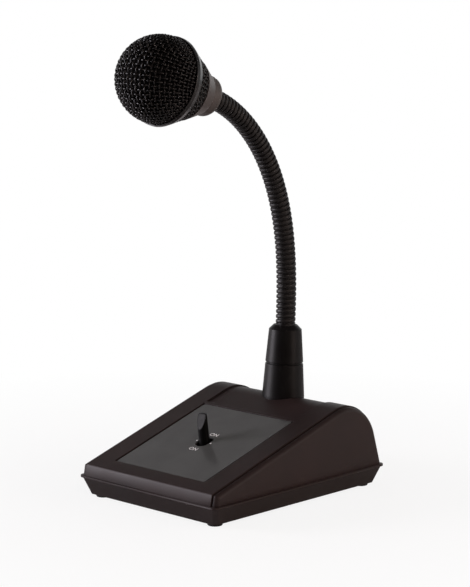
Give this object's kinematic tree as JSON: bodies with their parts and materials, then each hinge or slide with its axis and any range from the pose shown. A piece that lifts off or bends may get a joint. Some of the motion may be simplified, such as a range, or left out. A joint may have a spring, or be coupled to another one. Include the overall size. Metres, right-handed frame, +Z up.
{
  "type": "paging microphone",
  "caption": "Desk paging microphone: sloped console with a rocking talk lever, a stiff bendable gooseneck and a wire-mesh ball head.",
  "frame": {"origin": "on the desk plane, under the middle of the outline that the whole covers", "axes": "+Z up, -Y towards the person speaking, +X to their right"},
  "size_m": [0.1174, 0.1644, 0.2828],
  "materials": {
    "housing_plastic": "fine moulded grain, dark brown-black",
    "panel_lacquer": "satin grey lacquer",
    "lever_plastic": "satin black",
    "soft_rubber": "matt",
    "zinc_steel": "zinc plated",
    "ballast_steel": "rolled, unpainted",
    "switch_plastic": "moulded",
    "contact_brass": "tinned brass",
    "board_laminate": "green lacquer",
    "collar_plastic": "fine moulded grain",
    "neck_steel": "black lacquer on wound steel",
    "head_plastic": "satin moulded",
    "grille_wire": "black enamel",
    "wind_foam": "open-cell foam",
    "capsule_case": "turned"
  },
  "bodies": {
    "base": {"upper_housing": "housing_plastic", "lower_tray": "housing_plastic", "rubber_feet": "soft_rubber", "housing_screws": "zinc_steel", "ballast_plate": "ballast_steel", "push_nuts": "zinc_steel", "top_panel": "panel_lacquer", "lever_pin": "zinc_steel", "switch_body": "switch_plastic", "switch_screws": "zinc_steel", "switch_terminals": "contact_brass", "switch_board": "board_laminate", "cable_grommet": "soft_rubber", "lower_collar": "collar_plastic", "upper_collar": "collar_plastic", "neck_stem": "zinc_steel", "stem_washer": "zinc_steel", "stem_nut": "zinc_steel", "gooseneck_01": "neck_steel"},
    "lever": {"talk_lever": "lever_plastic"},
    "neck_02": {"gooseneck_02": "neck_steel"},
    "neck_03": {"gooseneck_03": "neck_steel"},
    "neck_04": {"gooseneck_04": "neck_steel"},
    "neck_05": {"gooseneck_05": "neck_steel"},
    "neck_06": {"gooseneck_06": "neck_steel"},
    "neck_07": {"gooseneck_07": "neck_steel"},
    "neck_08": {"gooseneck_08": "neck_steel"},
    "neck_09": {"gooseneck_09": "neck_steel"},
    "neck_10": {"gooseneck_10": "neck_steel"},
    "neck_11": {"gooseneck_11": "neck_steel"},
    "neck_12": {"gooseneck_12": "neck_steel"},
    "neck_13": {"gooseneck_13": "neck_steel"},
    "neck_14": {"gooseneck_14": "neck_steel"},
    "neck_15": {"gooseneck_15": "neck_steel"},
    "neck_16": {"gooseneck_16": "neck_steel"},
    "neck_17": {"gooseneck_17": "neck_steel"},
    "neck_18": {"gooseneck_18": "neck_steel"},
    "neck_19": {"gooseneck_19": "neck_steel"},
    "neck_20": {"gooseneck_20": "neck_steel"},
    "head": {"gooseneck_21": "neck_steel", "head_socket": "head_plastic", "set_screw": "zinc_steel", "rear_grille": "grille_wire", "rear_foam": "wind_foam", "grille_band": "head_plastic", "front_grille": "grille_wire", "front_foam": "wind_foam", "capsule": "capsule_case", "capsule_cushion": "soft_rubber"}
  },
  "joints": [
    {"name": "lever_rock", "type": "hinge", "parent": "base", "child": "lever", "pos_m": [0, -0.01744, 0.02813], "axis": [1, 0, 0], "range_deg": [-15, 15]},
    {"name": "neck_pitch_01", "type": "hinge", "parent": "base", "child": "neck_02", "pos_m": [0, 0.0535, 0.10675], "axis": [1, 0, 0], "range_deg": [-7, 4]},
    {"name": "neck_lean_02", "type": "hinge", "parent": "neck_02", "child": "neck_03", "pos_m": [0, 0.05375, 0.11496], "axis": [0, 0.9998, -0.0194], "range_deg": [-6, 6]},
    {"name": "neck_pitch_03", "type": "hinge", "parent": "neck_03", "child": "neck_04", "pos_m": [0, 0.05382, 0.12319], "axis": [1, 0, 0], "range_deg": [-7, 4]},
    {"name": "neck_lean_04", "type": "hinge", "parent": "neck_04", "child": "neck_05", "pos_m": [0, 0.05368, 0.1314], "axis": [0, 0.9994, 0.0334], "range_deg": [-6, 6]},
    {"name": "neck_pitch_05", "type": "hinge", "parent": "neck_05", "child": "neck_06", "pos_m": [0, 0.05327, 0.13961], "axis": [1, 0, 0], "range_deg": [-7, 4]},
    {"name": "neck_lean_06", "type": "hinge", "parent": "neck_06", "child": "neck_07", "pos_m": [0, 0.05255, 0.1478], "axis": [0, 0.994, 0.1094], "range_deg": [-6, 6]},
    {"name": "neck_pitch_07", "type": "hinge", "parent": "neck_07", "child": "neck_08", "pos_m": [0, 0.05147, 0.15595], "axis": [1, 0, 0], "range_deg": [-7, 4]},
    {"name": "neck_lean_08", "type": "hinge", "parent": "neck_08", "child": "neck_09", "pos_m": [0, 0.05, 0.16404], "axis": [0, 0.9787, 0.2051], "range_deg": [-6, 6]},
    {"name": "neck_pitch_09", "type": "hinge", "parent": "neck_09", "child": "neck_10", "pos_m": [0, 0.0481, 0.17204], "axis": [1, 0, 0], "range_deg": [-7, 4]},
    {"name": "neck_lean_10", "type": "hinge", "parent": "neck_10", "child": "neck_11", "pos_m": [0, 0.04574, 0.17991], "axis": [0, 0.9484, 0.317], "range_deg": [-6, 6]},
    {"name": "neck_pitch_11", "type": "hinge", "parent": "neck_11", "child": "neck_12", "pos_m": [0, 0.0429, 0.18762], "axis": [1, 0, 0], "range_deg": [-7, 4]},
    {"name": "neck_lean_12", "type": "hinge", "parent": "neck_12", "child": "neck_13", "pos_m": [0, 0.03954, 0.19512], "axis": [0, 0.8977, 0.4406], "range_deg": [-6, 6]},
    {"name": "neck_pitch_13", "type": "hinge", "parent": "neck_13", "child": "neck_14", "pos_m": [0, 0.03566, 0.20237], "axis": [1, 0, 0], "range_deg": [-7, 4]},
    {"name": "neck_lean_14", "type": "hinge", "parent": "neck_14", "child": "neck_15", "pos_m": [0, 0.03124, 0.2093], "axis": [0, 0.8214, 0.5703], "range_deg": [-6, 6]},
    {"name": "neck_pitch_15", "type": "hinge", "parent": "neck_15", "child": "neck_16", "pos_m": [0, 0.02629, 0.21586], "axis": [1, 0, 0], "range_deg": [-7, 4]},
    {"name": "neck_lean_16", "type": "hinge", "parent": "neck_16", "child": "neck_17", "pos_m": [0, 0.02081, 0.22199], "axis": [0, 0.7154, 0.6987], "range_deg": [-6, 6]},
    {"name": "neck_pitch_17", "type": "hinge", "parent": "neck_17", "child": "neck_18", "pos_m": [0, 0.01481, 0.22761], "axis": [1, 0, 0], "range_deg": [-7, 4]},
    {"name": "neck_lean_18", "type": "hinge", "parent": "neck_18", "child": "neck_19", "pos_m": [0, 0.00833, 0.23267], "axis": [0, 0.5769, 0.8168], "range_deg": [-6, 6]},
    {"name": "neck_pitch_19", "type": "hinge", "parent": "neck_19", "child": "neck_20", "pos_m": [0, 0.0014, 0.23709], "axis": [1, 0, 0], "range_deg": [-7, 4]},
    {"name": "neck_lean_20", "type": "hinge", "parent": "neck_20", "child": "head", "pos_m": [0, -0.00593, 0.2408], "axis": [0, 0.4057, 0.914], "range_deg": [-6, 6]}
  ]
}
